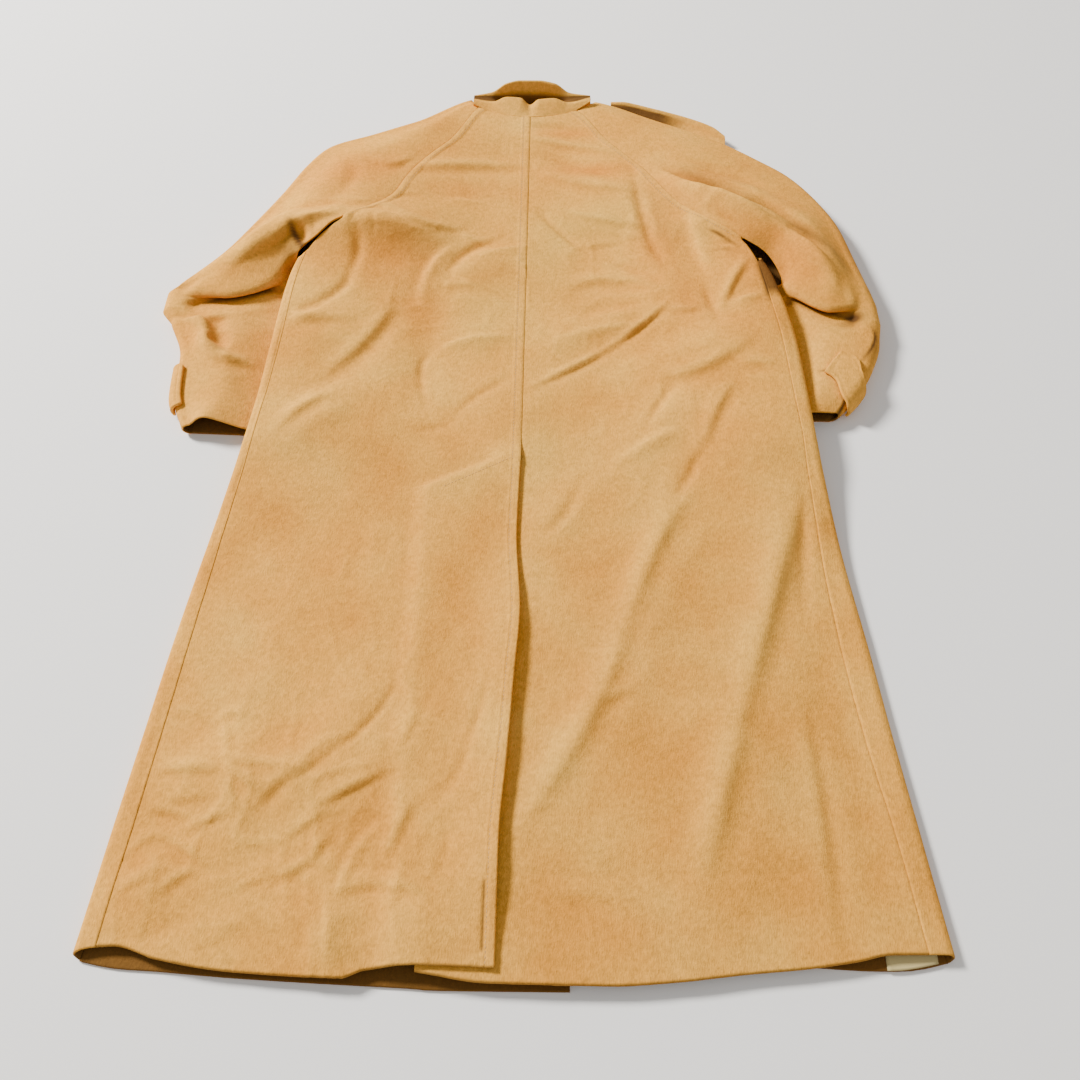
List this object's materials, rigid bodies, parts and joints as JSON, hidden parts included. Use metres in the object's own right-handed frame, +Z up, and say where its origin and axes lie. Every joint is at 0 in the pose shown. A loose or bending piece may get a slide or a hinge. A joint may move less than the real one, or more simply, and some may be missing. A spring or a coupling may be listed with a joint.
{
  "type": "raglan wool overcoat",
  "caption": "Long camel wool overcoat with raglan sleeves, cuff tabs and a centre back vent, laid flat on its front with the back up.",
  "frame": {"origin": "under the middle of the coat on the surface that it lies on, on the centre back line 580 mm above the hem line", "axes": "+Y towards the neck, +X towards the wearer's right, which is the right of the picture, +Z up from the surface, out of the back panel"},
  "size_m": [0.915, 1.2352, 0.0596],
  "materials": {
    "wool": "brushed camel wool with a short soft nap",
    "lining": "smooth cream lining"
  },
  "bodies": {
    "root": {"back_left": "wool", "back_right": "wool", "front_left": "wool", "front_right": "wool", "sleeve_left_back": "wool", "sleeve_left_front": "wool", "sleeve_right_back": "wool", "sleeve_right_front": "wool", "collar": "wool", "collar_end_right": "wool", "cuff_strap_left": "wool", "cuff_strap_right": "wool", "lining_left": "lining", "lining_right": "lining"}
  },
  "joints": []
}
